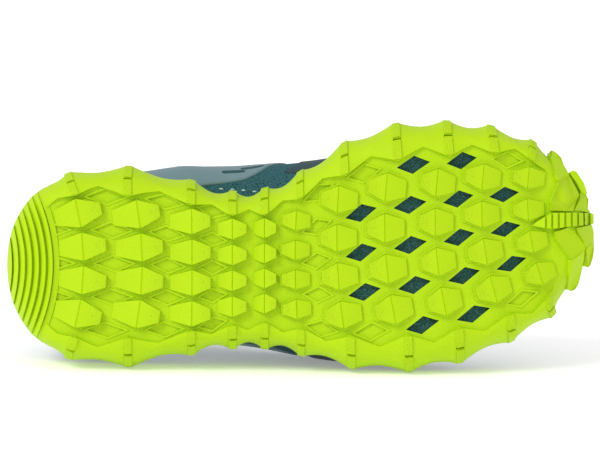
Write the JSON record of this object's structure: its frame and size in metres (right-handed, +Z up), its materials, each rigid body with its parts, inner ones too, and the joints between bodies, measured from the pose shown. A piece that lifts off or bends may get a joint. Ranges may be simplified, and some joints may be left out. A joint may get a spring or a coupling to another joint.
{
  "type": "trail running shoe",
  "caption": "left trail running shoe lying on its side, deeply lugged sole with window lattice, mesh upper, film panels, laces",
  "frame": {"origin": "middle of the lying shoe's footprint, on the floor", "axes": "+X from heel to toe, +Z up, the sole faces -Y"},
  "size_m": [0.2896, 0.1114, 0.1234],
  "materials": {
    "lime_rubber": "moulded lime rubber, satin with stippled facets",
    "midsole_foam": "dark teal foam under woven textile",
    "vamp_mesh": "dark teal speckled mesh",
    "panel_film": "smooth grey-blue bonded film",
    "rand_film": "matt dark film",
    "lining": "knit lining",
    "lace_cord": "woven round cord"
  },
  "bodies": {
    "root": {"outsole": "lime_rubber", "midsole": "midsole_foam", "insole": "lining", "upper": "vamp_mesh", "tongue": "lining", "toe_cap": "rand_film", "heel_counter": "rand_film", "panel_medial": "panel_film", "panel_lateral": "panel_film", "eyestay": "panel_film", "pull_loop": "rand_film", "laces": "lace_cord"}
  },
  "joints": []
}
